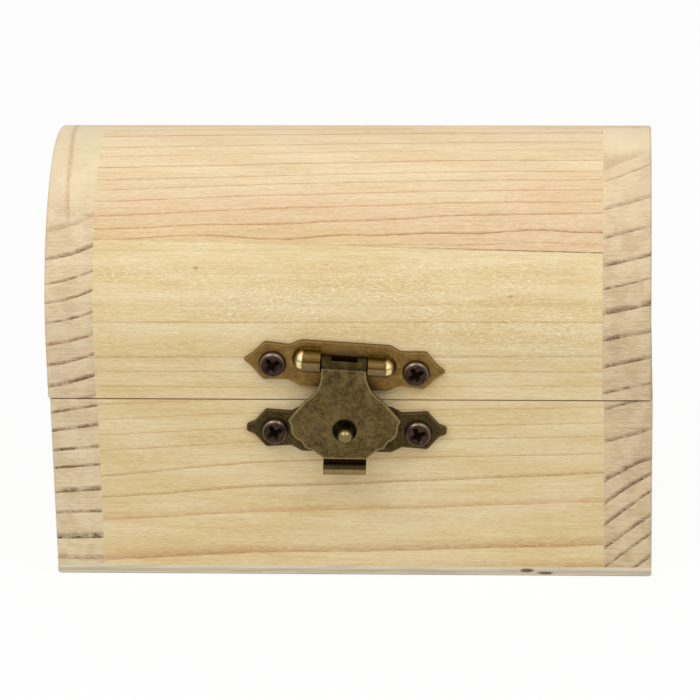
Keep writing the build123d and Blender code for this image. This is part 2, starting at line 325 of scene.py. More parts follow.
soft_lamp("left_softbox", -44, 53, 3.4, 0.40)
soft_lamp("right_softbox", 48, 53, 2.6, 0.40)

# %% [markdown]
# ## Pine
# Pine shows one line a year: pale early wood darkens slowly and stops at a sharp edge, where the year ends.
# A noise could draw such lines, but a real board has its own few rings, and a ruler reads them off.
# So each board has a list of rings: how high each stands, and how dark, how broad and how red it is.
# A colour ramp turns the height into a ring number, and the fraction of that number is the season.

# %% Rings
def ring_season(wood, height, rings):
    """The season of the year, 0 to 1, and the darkness, breadth and redness of the ring at a height."""
    top, bottom = rings[0][0], rings[-1][0]
    share = (top - height) / (top - bottom)
    places = [(top - ring[0]) / (top - bottom) for ring in rings]
    last = len(rings) - 1
    counting = [(place, (i / last,) * 3) for i, place in enumerate(places)]
    kinds = [(place, rings[min(i + 1, last)][1:]) for i, place in enumerate(places)]
    number = wood.node("ShaderNodeValToRGB", {"stops": counting}, {0: share}) * last
    kind = wood.node("ShaderNodeValToRGB", {"ramp_interpolation": "CONSTANT", "stops": kinds}, {0: share})
    parts = [wood.node("ShaderNodeSeparateColor", None, {0: kind}, i) for i in range(3)]
    return number.fraction(), parts


# %% Pine
front_face = -27.5
back_face = 27.5
outer_side = 50.0
inner_side = 42.0
body_top = 32.4
grain_relief = 0.00006


def dress(node, material):
    """Gives a CAD node one material, and leaves its mesh alone."""
    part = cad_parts[node]
    part.data.materials.clear()
    part.data.materials.append(material)


def pine_board(node, ring_height, rings, tone, wander=0.35, end_grain=0.0, extras=(), shade=None):
    """Dresses a board in bare pine. ring_height gives the height that its rings are listed by.

    An end board has an end_grain of 1, and its fibres run from front to back instead of from side to side.
    The shade is the depth where the board starts to darken, the depth where it is darkest, and the colour.
    """
    wood = Finish("pine_" + node.rsplit("_", 1)[0])
    x, y, z = wood.places()
    along, across = (y, x) if end_grain else (x, y)
    drift = wood.noise(along * 0.035, across * 0.12, z * 0.12, 1.0) - 0.5
    ripple = wood.noise(along * 0.25, across * 0.6, z * 0.6) - 0.5
    height = ring_height(wood, x, y, z) + drift * (4 * wander) + ripple * wander
    season, (darkness, breadth, redness) = ring_season(wood, height, rings)

    patch = wood.noise(along * 0.05, across * 0.3, z * 0.3)
    cells = wood.noise(x * (0.8 + 2.2 * end_grain), y * 3.0, z * (5.0 - 1.6 * end_grain), 2.0, 0.6)
    saw = wood.noise(x * 0.13, y * 3.0, z * 3.4, 3.0, 0.65)
    hair = wood.noise(x * 0.75, y * 6.5, z * 7.0, 3.0, 0.7)
    if end_grain:
        outer = x.size().rise(outer_side - 0.5, outer_side - 0.1)
        inner = 1 - x.size().rise(inner_side + 0.1, inner_side + 0.4)
        flank = outer + inner
        cells = cells + flank * (wood.noise(x, y * 0.4, z * 4.0, 2.0, 0.6) - cells)
        saw = saw + flank * (wood.noise(x, y * 0.11, z * 3.4, 3.0, 0.65) - saw)
        hair = hair + flank * (wood.noise(x, y * 0.45, z * 7.0, 3.0, 0.7) - hair)
    late = ((season - (1 - breadth)) / breadth).most(0.0) ** (1.5 - 0.9 * end_grain)
    density = 0.5 + 0.6 * patch + (0.5 + 0.1 * end_grain) * cells.rise(0.32, 0.66)
    late = late * (1 - season.rise(0.97, 1.0)) * darkness * density
    if end_grain:
        broken = wood.noise(x * 0.42, y * 0.16, z * 0.5).rise(0.34, 0.62)
        late = late * (0.45 + 0.75 * broken) * (1 - 0.5 * flank)

    pale, warm, line, red = tone
    ground = wood.mix(patch.rise(0.35, 0.68), pale, warm)
    ground = wood.mix(season * 0.6 * darkness, ground, warm)
    if shade:
        start, edge, deeper = shade
        ground = wood.mix((y * -1).rise(-start, -edge) * (0.5 + 0.7 * patch), ground, deeper)
    body = wood.mix(late.least(1.0), ground, wood.mix(redness, line, red))
    tint = (saw - 0.5) * 0.55 + (hair - 0.5)
    body = wood.mix(tint.most(0.0), body, line)
    body = wood.mix((tint * -1).most(0.0) * 1.3, body, colour(250, 240, 214))

    duct = wood.noise(along * 0.55, across * 3.4, z * 3.4, 1.0).rise(0.735, 0.775)
    body = wood.mix(duct * 0.2, body, line)
    relief = saw * 0.5 + hair * 0.5 - late * 0.4
    for extra in extras:
        body, relief = extra(wood, (x, y, z), body, relief, tone)
    wood.skin_with(Base_Color=body, Roughness=0.60 + 0.14 * saw, Normal=wood.bump(relief, grain_relief, 0.6))
    wood.skin.inputs["Specular IOR Level"].default_value = 0.30
    dress(node, wood.material)


# %% [markdown]
# ## Marks of single boards
# Some boards have marks that no other has: a streak of resin, fibres that the plane tore, tiny knots.
# Each mark is a function that takes the colour and the relief of the wood, and gives both back changed.

# %% Streaks, fibres, painted shade and glue lines
def resin_streak(place, lean, width, foot):
    """A thin reddish streak of resin above the height foot. It leans as it goes back over the arch."""
    def add(wood, at, body, relief, tone):
        x, y, z = at
        wobble = wood.noise(z * 0.3, 2.0, 0.0) - 0.5
        near = 1 - ((x - place + (y + 22) * lean + wobble * 0.7).size() / width).least(1.0)
        flecks = wood.noise(x * 2.0, y * 4.0, z * 4.0).rise(0.25, 0.65)
        stain = near * z.rise(foot, foot + 1.5) * flecks
        return wood.mix(stain * 0.7, body, tone[3]), relief
    return add


def torn_fibres(low, high, strength):
    """A band where the plane lifted short fibres, which catch the light."""
    def add(wood, at, body, relief, tone):
        x, y, z = at
        band = z.rise(low - 3, low + 3) * (1 - z.rise(high - 3, high + 3))
        where = wood.noise(x * 0.06, y * 0.16, z * 0.13, 3.0, 0.6).rise(0.30, 0.62) * band
        fleck = wood.noise(x * 1.4, y * 4.5, z * 5.2, 3.0, 0.7)
        lit = fleck.rise(0.52, 0.70) * where * strength
        dim = (1 - fleck.rise(0.30, 0.46)) * where * strength
        body = wood.mix(lit * 0.75, body, colour(255, 246, 218))
        body = wood.mix(dim * 0.5, body, tone[2])
        return body, relief + (fleck * where) * (2.0 * strength)
    return add


def shade_behind_window(left, right, low, high):
    """Painted shade on the wood that shows through the window of the hasp plate."""
    def add(wood, at, body, relief, tone):
        x, y, z = at
        across = x.rise(left - 0.3, left) * (1 - x.rise(right, right + 0.3))
        tall = z.rise(low - 0.3, low) * (1 - z.rise(high, high + 0.3))
        at_face = 1 - y.rise(front_face + 0.2, front_face + 0.5)
        return wood.mix(across * tall * at_face * 0.95, body, colour(78, 54, 34)), relief
    return add


def glue_line(height, slope):
    """The thin dark line of the sloping glue joint, which wavers on the left and is sharp on the right."""
    def add(wood, at, body, relief, tone):
        x, y, z = at
        waver = (wood.noise(x * 0.16, 3.0, 0.0) - 0.5) * (0.4 - 0.28 * x.rise(-25.0, 10.0))
        near = 1 - (z + x * slope - height + waver).size().rise(0.04, 0.15)
        shown = near * (0.18 + 0.82 * x.rise(-4.0, 34.0)) * (0.35 + wood.noise(x * 0.5, 1.0, 0.0))
        return wood.mix((shown * 0.9).least(0.85), body, colour(118, 88, 52)), relief - shown
    return add


# %% Tones and knots
yellowing = (0.975, 0.985, 0.88, 1.0)


def yellower_left(wood, at, body, relief, tone):
    """The foot of the top board turns from pink to yellow on the left, and its rings stay dark there."""
    x, y, z = at
    cloud = wood.noise(x * 0.06, y * 0.5, 4.0)
    share = (1 - x.rise(-14.0, 30.0)) * (1 - (y + (cloud - 0.5) * 5.0).rise(-21.2, -18.2))
    return wood.mix(share, body, yellowing, "MULTIPLY"), relief


def wash(low, high, tint, share):
    """A change of tone above a height: low is where it starts and high where it is full."""
    def add(wood, at, body, relief, tone):
        return wood.mix(at[2].rise(low, high) * share, body, tint), relief
    return add


def pin_knots(knots):
    """Tiny dark knots, each a place in x, a height and a radius."""
    def add(wood, at, body, relief, tone):
        x, y, z = at
        for px, pz, radius in knots:
            far = ((x - px) * 0.6) ** 2 + (z - pz) ** 2
            spot = 1 - far.rise(0.0, radius * radius)
            body = wood.mix(spot * 0.5, body, colour(150, 112, 70))
        return body, relief
    return add


face_tone = (colour(226, 206, 161), colour(218, 192, 139), colour(160, 120, 68), colour(200, 142, 90))
top_tone = (colour(235, 213, 175), colour(229, 201, 158), colour(150, 104, 60), colour(188, 120, 72))
end_tone = (colour(221, 200, 163), colour(208, 184, 147), colour(104, 78, 48), colour(190, 138, 96))
left_tone = (colour(225, 205, 167), colour(212, 189, 151), colour(94, 74, 36), colour(180, 128, 86))
right_tone = (colour(218, 195, 157), colour(200, 174, 136), colour(104, 78, 50), colour(166, 116, 82))
print("tones:", len(face_tone), "colours each")

# %% [markdown]
# ## The rings of each board
# A list runs from the highest ring down: height above the table in millimetres, darkness, breadth, redness.
# On the lid's top board it runs from the back to the front, and gives the place in y.
# The front boards have nearly level rings that climb to the right.
# The end boards show their end grain to the front, with bolder and steeper rings.
# Every board has a list of its own, so no pattern repeats.

# %% Front board of the body
def front_height(wood, x, y, z):
    """The rings climb to the right, most of all two thirds of the way up the board."""
    climb = wood.ramp((x + inner_side) / (2 * inner_side), [(0.0, 0.0), (0.3, 0.5), (0.7, 0.8), (1.0, 1.0)])
    reaches = [(0.0, 0.3), (0.37, 0.37), (0.54, 0.46), (0.66, 0.54), (0.76, 0.36), (0.86, 0.26), (1.0, 0.25)]
    reach = wood.ramp(z / body_top, reaches)
    return z - climb * reach * 10 + (y - front_face) * 0.55


front_rings = [
    (41.0, 0.4, 0.4, 0.3), (37.0, 0.4, 0.3, 0.5), (34.0, 0.4, 0.3, 0.3), (31.2, 0.45, 0.3, 0.6),
    (28.6, 0.38, 0.22, 0.2), (25.8, 0.48, 0.16, 0.1), (22.8, 0.6, 0.16, 0.2),
    (18.1, 0.75, 0.14, 0.2), (14.1, 0.72, 0.2, 0.1), (9.8, 0.6, 0.32, 0.8), (2.4, 0.72, 0.3, 0.35),
    (-2.0, 0.7, 0.6, 0.3), (-4.0, 0.5, 0.3, 0.3), (-8.0, 0.4, 0.3, 0.5),
]
pine_board("body_front_board", front_height, front_rings, face_tone, wander=0.16)

# %% Back board of the body
def back_height(wood, x, y, z):
    """The rings fall a little to the right, and lean through the board."""
    return z + x * 0.02 + (y - back_face) * 0.4


back_rings = [
    (38.0, 0.4, 0.3, 0.3), (33.0, 0.5, 0.3, 0.5), (29.6, 0.4, 0.2, 0.3), (26.9, 0.6, 0.2, 0.2),
    (23.0, 0.5, 0.3, 0.6), (19.6, 0.7, 0.2, 0.2), (15.8, 0.5, 0.25, 0.4), (11.0, 0.6, 0.3, 0.5),
    (7.9, 0.5, 0.2, 0.2), (4.0, 0.6, 0.3, 0.6), (0.0, 0.4, 0.3, 0.3), (-5.0, 0.4, 0.3, 0.3),
]
pine_board("body_back_board", back_height, back_rings, face_tone)

# %% Front board of the lid
def lid_front_height(wood, x, y, z):
    """The rings are almost level."""
    return z - x * 0.004 + (y - front_face) * 0.25


lid_front_rings = [
    (72.0, 0.3, 0.3, 0.3), (66.0, 0.3, 0.3, 0.3), (60.1, 0.3, 0.3, 0.2), (58.4, 0.2, 0.3, 0.1),
    (54.6, 0.1, 0.4, 0.1), (49.1, 0.16, 0.3, 0.1), (46.3, 0.8, 0.14, 0.3), (40.1, 0.55, 0.14, 0.1),
    (37.4, 0.52, 0.18, 0.3), (34.7, 0.5, 0.16, 0.5), (31.5, 0.4, 0.3, 0.4), (27.0, 0.4, 0.3, 0.4),
]
lid_front_marks = [
    torn_fibres(41.0, 55.0, 0.8),
    pin_knots([(-25.2, 54.6, 0.36), (26.6, 50.5, 0.32)]),
    # Painted shade behind the window of the hasp plate.
    shade_behind_window(-4.5, 3.0, 37.6, 41.3),
    glue_line(57.78, 0.0209),
]
pine_board("lid_front_board", lid_front_height, lid_front_rings, face_tone,
           wander=0.2, extras=lid_front_marks)

# %% Back board of the lid
def lid_back_height(wood, x, y, z):
    """The rings fall a little to the right, and lean the other way through the board."""
    return z + x * 0.015 - (y - back_face) * 0.3


lid_back_rings = [
    (72.0, 0.4, 0.3, 0.3), (66.0, 0.4, 0.3, 0.4), (61.0, 0.5, 0.3, 0.3), (57.3, 0.5, 0.2, 0.4),
    (53.9, 0.4, 0.3, 0.2), (49.0, 0.6, 0.2, 0.3), (44.6, 0.4, 0.3, 0.6), (41.0, 0.5, 0.2, 0.2),
    (37.3, 0.5, 0.2, 0.3), (33.6, 0.5, 0.3, 0.5), (29.0, 0.4, 0.3, 0.4),
]
pine_board("lid_back_board", lid_back_height, lid_back_rings, face_tone)

# %% Top board of the lid
def lid_top_height(wood, x, y, z):
    """The rings lie along the board. They climb to the right, and those at its foot run in waves."""
    climb = wood.ramp((x + 40) / 82, [(0.0, 0.0), (0.2, 0.3), (0.68, 0.9), (1.0, 1.0)])
    foot = 1 - y.rise(-21.5, -17.5)
    wave = (wood.noise(x * 0.055, 7.0, 0.0, 1.0) - 0.5) * 1.8
    return y - climb * (2.1 - 1.5 * foot) + wave * foot + (z - 62) * 0.02


lid_top_rings = [
    (27.0, 0.62, 0.15, 0.5), (24.8, 0.72, 0.19, 0.6), (22.0, 0.72, 0.15, 0.4),
    (19.6, 0.62, 0.19, 0.7), (17.0, 0.72, 0.15, 0.5), (13.9, 0.62, 0.15, 0.5),
    (10.6, 0.72, 0.15, 0.6), (6.7, 0.62, 0.15, 0.5), (2.8, 0.54, 0.15, 0.4),
    (-0.3, 0.74, 0.22, 0.6), (-4.4, 0.67, 0.12, 0.3), (-7.0, 0.54, 0.12, 0.3),
    (-9.9, 0.78, 0.15, 0.6), (-12.5, 0.62, 0.15, 0.5), (-14.2, 0.82, 0.15, 0.3),
    (-16.2, 0.78, 0.15, 0.6), (-18.3, 0.74, 0.2, 0.8), (-20.1, 0.85, 0.2, 0.5),
    (-21.3, 0.98, 0.2, 0.1), (-22.3, 0.62, 0.22, 0.5), (-23.6, 0.72, 0.19, 0.3),
    (-27.0, 0.52, 0.15, 0.3),
]
pine_board("lid_top_board", lid_top_height, lid_top_rings, top_tone, wander=0.16, extras=[yellower_left],
           shade=(-8.0, -22.0, colour(216, 184, 142)))

# %% End boards of the lid
def leaning(slope_high, slope_low, high, low, middle, sag=0.0):
    """Rings that lean by one slope at the height high and another at the height low, and sag between."""
    def height(wood, x, y, z):
        share = ((z - low) / (high - low)).most(0.0).least(1.0)
        slope = slope_low + share * (slope_high - slope_low)
        wander = (wood.noise(middle, y * 0.035, z * 0.03, 1.0) - 0.5) * (y - front_face) * 0.16
        return z - slope * (x - middle) - sag * (x - middle) ** 2 + wander
    return height


lid_left_rings = [
    (75.0, 0.3, 0.3, 0.3), (66.0, 0.15, 0.3, 0.5), (60.2, 0.38, 0.15, 0.4), (56.4, 0.82, 0.2, 0.2),
    (52.8, 0.72, 0.15, 0.1), (49.8, 0.95, 0.2, 0.3), (46.5, 0.85, 0.17, 0.1),
    (42.7, 0.98, 0.2, 0.5), (39.1, 0.95, 0.22, 0.3), (35.2, 0.98, 0.25, 0.1), (31.8, 0.8, 0.2, 0.2),
    (28.0, 0.8, 0.2, 0.2),
]
left_marks = [wash(60.0, 67.0, colour(238, 222, 184), 0.55), resin_streak(-46.7, 0.033, 0.6, 60.0)]
pine_board("lid_left_end", leaning(0.26, 0.27, 62, 34, -46, 0.02), lid_left_rings, end_tone,
           wander=0.12, end_grain=1.0, extras=left_marks)

lid_right_rings = [
    (75.0, 0.1, 0.2, 0.5), (71.0, 0.1, 0.2, 0.5), (67.3, 0.44, 0.22, 1.0), (66.3, 0.7, 0.2, 0.5),
    (63.1, 0.8, 0.2, 0.2), (59.5, 0.72, 0.16, 0.4), (55.7, 0.92, 0.18, 0.2),
    (52.4, 0.85, 0.16, 0.1), (48.4, 0.8, 0.28, 0.2), (44.0, 0.9, 0.22, 0.1), (39.3, 0.85, 0.2, 0.2),
    (34.6, 0.75, 0.16, 0.2), (30.5, 0.8, 0.2, 0.2), (26.0, 0.8, 0.2, 0.2),
]
right_marks = [wash(57.0, 65.0, colour(236, 214, 176), 0.35), wash(67.6, 68.3, colour(250, 230, 194), 0.5)]
pine_board("lid_right_end", leaning(0.19, 0.24, 62, 34, 46), lid_right_rings, right_tone,
           wander=0.12, end_grain=1.0, extras=right_marks)

# %% End boards of the body
body_left_rings = [
    (38.0, 0.7, 0.2, 0.3), (34.0, 0.7, 0.2, 0.3), (30.4, 0.95, 0.18, 0.2), (26.9, 1.0, 0.24, 0.2),
    (23.1, 1.0, 0.18, 0.1), (19.8, 0.98, 0.2, 0.2), (15.3, 1.0, 0.24, 0.2), (11.4, 1.0, 0.18, 0.3),
    (6.6, 1.0, 0.28, 0.0), (2.7, 0.5, 0.3, 0.5), (-2.0, 0.7, 0.3, 0.3),
]
pine_board("body_left_end", leaning(0.17, -0.01, 31, 2, -46), body_left_rings, left_tone,
           wander=0.10, end_grain=1.0)

body_right_rings = [
    (42.0, 0.7, 0.2, 0.3), (36.5, 0.7, 0.2, 0.3), (31.8, 0.75, 0.16, 0.2), (26.0, 0.7, 0.16, 0.3),
    (20.1, 0.8, 0.2, 0.2), (16.6, 0.85, 0.3, 0.1), (12.7, 0.8, 0.26, 0.1), (8.2, 0.75, 0.24, 0.1),
    (4.7, 0.7, 0.24, 0.1), (0.6, 0.7, 0.25, 0.1), (-4.0, 0.7, 0.3, 0.1), (-9.0, 0.7, 0.3, 0.1),
]
pine_board("body_right_end", leaning(0.3, 0.82, 25, 15, 46), body_right_rings, right_tone,
           wander=0.18, end_grain=1.0)
print("pine boards:", len([m for m in bpy.data.materials if m.name.startswith("pine_")]))

# %% [markdown]
# ## Plywood
# The bottom is a thin sheet of plywood: two pale faces and a darker core, which shows at the cut edge.
# The core is a band by height, and two small gaps in it are painted as dark ovals of shade, broken up by the
# fibres.

# %% Plywood
core_gaps_in_shade = [
    (29.1, 1.15, 1.25, 0.42, colour(100, 68, 36)),
    (32.3, 0.68, 1.45, 0.30, colour(84, 60, 44)),
]


def thin_plywood():
    """Three thin plies, of which the core shows at the cut edge."""
    ply = Finish("thin_plywood")
    x, y, z = ply.places()
    fibre = ply.noise(x * 0.2, y * 6.0, z * 9.0, 3.0, 0.6)
    cloud = ply.noise(x * 0.12, y * 0.5, z * 2.0)
    core = z.rise(0.5, 0.62) * (1 - z.rise(1.15, 1.25))
    base = ply.mix(cloud.rise(0.4, 0.65), colour(219, 209, 184), colour(206, 194, 168))
    base = ply.mix(core * (0.25 + 0.4 * fibre), base, colour(168, 152, 124))
    knots = ply.noise(x * 0.25, y * 0.4, z * 0.9, 1.0).rise(0.78, 0.84)
    base = ply.mix(knots * 0.8, base, colour(110, 84, 60))
    at_face = 1 - y.rise(front_face + 0.5, front_face + 1.5)
    # Painted shade: each gap in the core is a dark oval near the cut edge.
    for place, level, reach, tall, tint in core_gaps_in_shade:
        far = ((x - place) / reach) ** 2 + ((z - level) / tall) ** 2 + (fibre - 0.5) * 1.6
        base = ply.mix((1 - far.rise(0.4, 1.2)) * at_face * 0.9, base, tint)
    base = ply.mix((fibre - 0.45).most(0.0) * 0.5, base, colour(170, 150, 120))
    ply.skin_with(Base_Color=base, Roughness=0.65 + 0.15 * fibre, Normal=ply.bump(fibre, grain_relief, 0.6))
    ply.skin.inputs["Specular IOR Level"].default_value = 0.25
    return ply.material


dress("bottom_panel", thin_plywood())
print("materials so far:", len(bpy.data.materials))

# %% [markdown]
# ## The brass, antiqued
# The latch is stamped brass, darkened in a bath and then rubbed, so flats are olive-brown and rims shine.
# A plain metal would look new, and one noise would look rusty: the rubbing follows the shape, not chance.
# Each metal piece therefore carries an attribute for wear, which is high on its rims, and clouds break it up.
# The same attribute also holds painted highlights, on the bosses and along the bend of the flap.
# A second one, for grime, is high in the corners that rubbing doesn't reach.
# It also holds painted shade: on the side walls of the plates, on the bosses, and on the flap's knuckle, slot
# and tab.

# %% Metal finishes
def rubbed_metal(name, dark, mid, bright, gleam_strength=0.75, roughness=0.42, shine=0.25, grime=0.9,
                 soil_and_shade=colour(33, 20, 8)):
    """A darkened metal, brighter on wear and painted highlights, darker in its soil colour in corners and
    painted shade.
    """
    metal = Finish(name)
    x, y, z = metal.places()
    cloud = metal.noise(x, y, z, 5.0, 0.66, scale=0.75)
    grit = metal.noise(x, y, z, 3.0, 0.6, scale=4.5)
    brushed = metal.noise(x * 2.2, y * 0.8, z * 0.5, 3.0, 0.6)
    worn = metal.node("ShaderNodeAttribute", {"attribute_name": "worn"}, output=2)
    deep = metal.node("ShaderNodeAttribute", {"attribute_name": "grime"}, output=2)
    mottle = (cloud * 0.6 + grit * 0.4).rise(0.35, 0.68)
    base = metal.mix(mottle, dark, mid)
    clouds = metal.noise(x, y, z, 3.0, 0.6, scale=0.3).rise(0.50, 0.62)
    base = metal.mix(clouds * 0.4, base, mid)
    gleam = (worn * gleam_strength * (0.45 + 0.9 * brushed)).least(1.0)
    base = metal.mix(gleam, base, bright)
    base = metal.mix(deep * grime, base, soil_and_shade)
    rough = roughness + 0.22 * (1 - mottle) - shine * gleam + 0.2 * deep
    normal = metal.bump(grit * 0.5 + brushed * 0.5, 0.00003, 0.5)
    metal.skin_with(Base_Color=base, Roughness=rough, Normal=normal)
    metal.skin.inputs["Metallic"].default_value = 1.0
    return metal.material


finishes = [
    # The flap's soil colour is near black: it colours both its grime and its painted shade.
    ("flap_brass", (68, 55, 32), (120, 101, 61), (160, 138, 90), {"grime": 1.0, "soil_and_shade": colour(22, 13, 4)}),
    ("plate_brass", (112, 86, 45), (145, 114, 63), (176, 146, 94), {"gleam_strength": 0.4}),
    ("catch_brass", (52, 43, 24), (88, 73, 41), (128, 106, 64), {"gleam_strength": 0.5}),
    # The boss brass turns near white where it is worn: on the bosses' domed ends this paints their
    # highlights.
    ("boss_brass", (66, 46, 12), (98, 72, 20), (252, 226, 166),
     {"roughness": 0.34, "shine": 0.12, "gleam_strength": 0.95}),
    ("knob_brass", (70, 62, 34), (106, 94, 56), (150, 136, 92), {"roughness": 0.20, "shine": 0.06}),
    ("gunmetal", (46, 35, 29), (78, 61, 50), (122, 106, 88), {"roughness": 0.44, "gleam_strength": 0.8}),
    ("hinge_brass", (70, 54, 30), (106, 84, 48), (176, 150, 100), {"roughness": 0.38}),
    # The pin is near black: the shade inside the knuckle is painted into its colour.
    ("pin_steel_shaded", (12, 8, 4), (19, 13, 7), (40, 30, 20), {"roughness": 0.6}),
]
metals = {}
for name, dark, mid, bright, touches in finishes:
    metals[name] = rubbed_metal(name, colour(*dark), colour(*mid), colour(*bright), **touches)
print("metal finishes:", len(metals))

# %% [markdown]
# ## Shaping metal in millimetres
# Each piece is shaped flat, in millimetres, round its own middle, with z pointing out of the wood.
# One matrix then carries it to the chest: it turns by the small tilt of its plate and scales to metres.

# %% Places on the front
def front_place(x, height, tilt_deg):
    """The matrix from a place on the front face, in millimetres, to the chest in metres."""
    tilt = math.radians(tilt_deg)
    cosine, sine = math.cos(tilt), math.sin(tilt)
    axes = Matrix(((cosine, -sine, 0), (0, 0, -1), (sine, cosine, 0))).to_4x4()
    return Matrix.Scale(0.001, 4) @ Matrix.Translation((x, front_face, height)) @ axes


pin_up = 0.5
pin_out = 1.75
hasp_place = front_place(-0.8, 38.95, -3.9)
catch_place = front_place(-0.65, 27.4, -0.9)
pin_place = hasp_place @ Matrix.Translation((0, pin_up, pin_out))
print("pin axis at", [round(v * 1000, 3) for v in pin_place.translation])

# %% Wear, grime, painted highlights and painted shade
def layer_of(shape, name):
    """The layer of a shape that holds wear with painted highlights, or grime with painted shade."""
    return shape.verts.layers.float.get(name) or shape.verts.layers.float.new(name)


def soften(shape, width, segments=2):
    """Rounds every sharp edge, as wear and plating do, and marks the new rims as worn."""
    worn = layer_of(shape, "worn")
    limit = math.radians(40)
    sharp = [edge for edge in shape.edges if len(edge.link_faces) == 2 and edge.calc_face_angle(0) > limit]
    rounded = bmesh.ops.bevel(shape, geom=sharp, offset=width, offset_type="OFFSET", segments=segments,
                              profile=0.5, affect="EDGES", material=-1, clamp_overlap=True)
    for vertex in rounded["verts"]:
        vertex[worn] = 1.0


def mark(shape, name, chosen, amount=1.0):
    """Writes an amount of wear and painted highlight, or of grime and painted shade, on the vertices whose
    place is chosen.
    """
    layer = layer_of(shape, name)
    for vertex in shape.verts:
        if chosen(vertex.co):
            vertex[layer] = amount


def closed(shape, distance):
    """Merges vertices that lie together, and then turns all the faces outwards."""
    bmesh.ops.remove_doubles(shape, verts=shape.verts[:], dist=distance)
    bmesh.ops.recalc_face_normals(shape, faces=shape.faces[:])


def framed(shape, width, level, facing=1):
    """Insets the broad faces at a level, facing out (1) or in (-1), so that wear stays near their rims."""
    worn = layer_of(shape, "worn")
    broad = [face for face in shape.faces
             if face.normal.z * facing > 0.999 and abs(face.calc_center_median().z - level) < 0.01]
    bmesh.ops.inset_region(shape, faces=broad, thickness=width, use_boundary=True, use_even_offset=True)
    for face in broad:
        for vertex in face.verts:
            vertex[worn] = 0.0


# %% Putting a piece on the chest
def piece(shape, name, body, nodes, place, material):
    """Puts a shape in its place on the chest, on a body, for the CAD nodes that it stands for."""
    closed(shape, 0.0004)
    shape.transform(place)
    mesh = bpy.data.meshes.new(name)
    shape.to_mesh(mesh)
    shape.free()
    mesh.shade_smooth()
    mesh.set_sharp_from_angle(angle=math.radians(38))
    mesh.materials.append(material)
    thing = bpy.data.objects.new(name, mesh)
    bpy.context.scene.collection.objects.link(thing)
    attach(thing, body)
    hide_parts(*nodes)
    print(name, "has", len(mesh.polygons), "faces")
    return thing


# %% [markdown]
# ## The two scalloped plates
# Both plates have one outline but for their tips: a plain middle, and a shoulder round each screw.
# A sheet with a sharp rim looks like paper, so the outline is extruded and every rim is rounded and worn.

# %% A stamped sheet
sheet_thickness = 0.65


def only(kind, geometry):
    """The vertices, the edges or the faces among an operator's results."""
    return [item for item in geometry if isinstance(item, kind)]


def sheet(outline, corner=0.0, holes=(), base=0.0):
    """A stamped sheet: rounded corners, round or square holes, and its back at the height base."""
    shape = bmesh.new()
    rim = [shape.verts.new((px, py, base)) for px, py in outline]
    shape.faces.new(rim)
    if corner:
        bmesh.ops.bevel(shape, geom=rim, offset=corner, offset_type="OFFSET", segments=4,
                        profile=0.5, affect="VERTICES", material=-1, clamp_overlap=True)
    for hole in holes:
        loop = [shape.verts.new((px, py, base)) for px, py in hole]
        for i, vertex in enumerate(loop):
            shape.edges.new((loop[i - 1], vertex))
    bmesh.ops.delete(shape, geom=shape.faces[:], context="FACES_ONLY")
    bmesh.ops.triangle_fill(shape, use_beauty=True, edges=shape.edges[:])
    bmesh.ops.recalc_face_normals(shape, faces=shape.faces[:])
    raised = bmesh.ops.extrude_face_region(shape, geom=shape.faces[:])["geom"]
    bmesh.ops.translate(shape, verts=only(bmesh.types.BMVert, raised), vec=(0, 0, sheet_thickness))
    bmesh.ops.recalc_face_normals(shape, faces=shape.faces[:])
    return shape


# %% The catch plate
screw_side = 11.9
screw_up = -0.4
screw_hole = 1.1
knob_up = 0.85
rivet_hole = 0.7
rim_round = 0.12
worn_band = 0.32
quarter = [(7.4, 4.05), (9.2, 3.05), (13.4, 3.35), (15.3, 1.1)]


def scalloped(tip):
    """The outline of a plate: one quarter, mirrored twice, and its tips."""
    side = quarter + tip + [(px, -py) for px, py in reversed(quarter)]
    return side + [(-px, py) for px, py in reversed(side)]


def ring_of(x, y, radius, count=24):
    """The points of a round hole."""
    angles = [2 * math.pi * i / count for i in range(count)]
    return [(x + radius * math.cos(angle), y + radius * math.sin(angle)) for angle in angles]


def plate(outline, corner, opening):
    """A scalloped plate with rounded and worn rims, an opening and the holes of its two screws."""
    drilled = [ring_of(side * screw_side, screw_up, screw_hole) for side in (-1, 1)]
    shape = sheet(outline, corner, drilled + [opening])
    soften(shape, rim_round)
    framed(shape, worn_band, sheet_thickness)
    # Painted shade: the side walls and back of the plate are darkened, to draw a dark outline round it.
    mark(shape, "grime", lambda place: place.z < 0.5, 0.7)
    return shape


catch_shape = plate(scalloped([(16.6, 0.55), (16.6, -0.55)]), 0.25, ring_of(0, knob_up, rivet_hole))
piece(catch_shape, "catch_plate_struck", "base", ["catch_plate"], catch_place,
      metals["catch_brass"])

# %% [markdown]
# ## The hasp plate
# Its two bosses were pressed out of the same sheet and hold the ends of the pin.
# Each is a half-round ridge with a domed end: its section is spun half a turn, and then drawn out.

# %% The hasp plate
window = [(-3.95, -1.55), (3.95, -1.55), (3.95, 1.85), (-3.95, 1.85)]
hasp_shape = plate(scalloped([(16.8, 0.0)]), 0.45, window)
piece(hasp_shape, "hasp_plate_struck", "lid", ["hasp_plate"], hasp_place,
      metals["plate_brass"])

# %% The bosses
boss_radius = 1.5
boss_flare = [(1.5, 1.05), (1.55, 0.85), (1.68, 0.71), (1.95, 0.64)]
boss_middle = 6.75
ridge_length = 2.8
boss_wall = 0.6


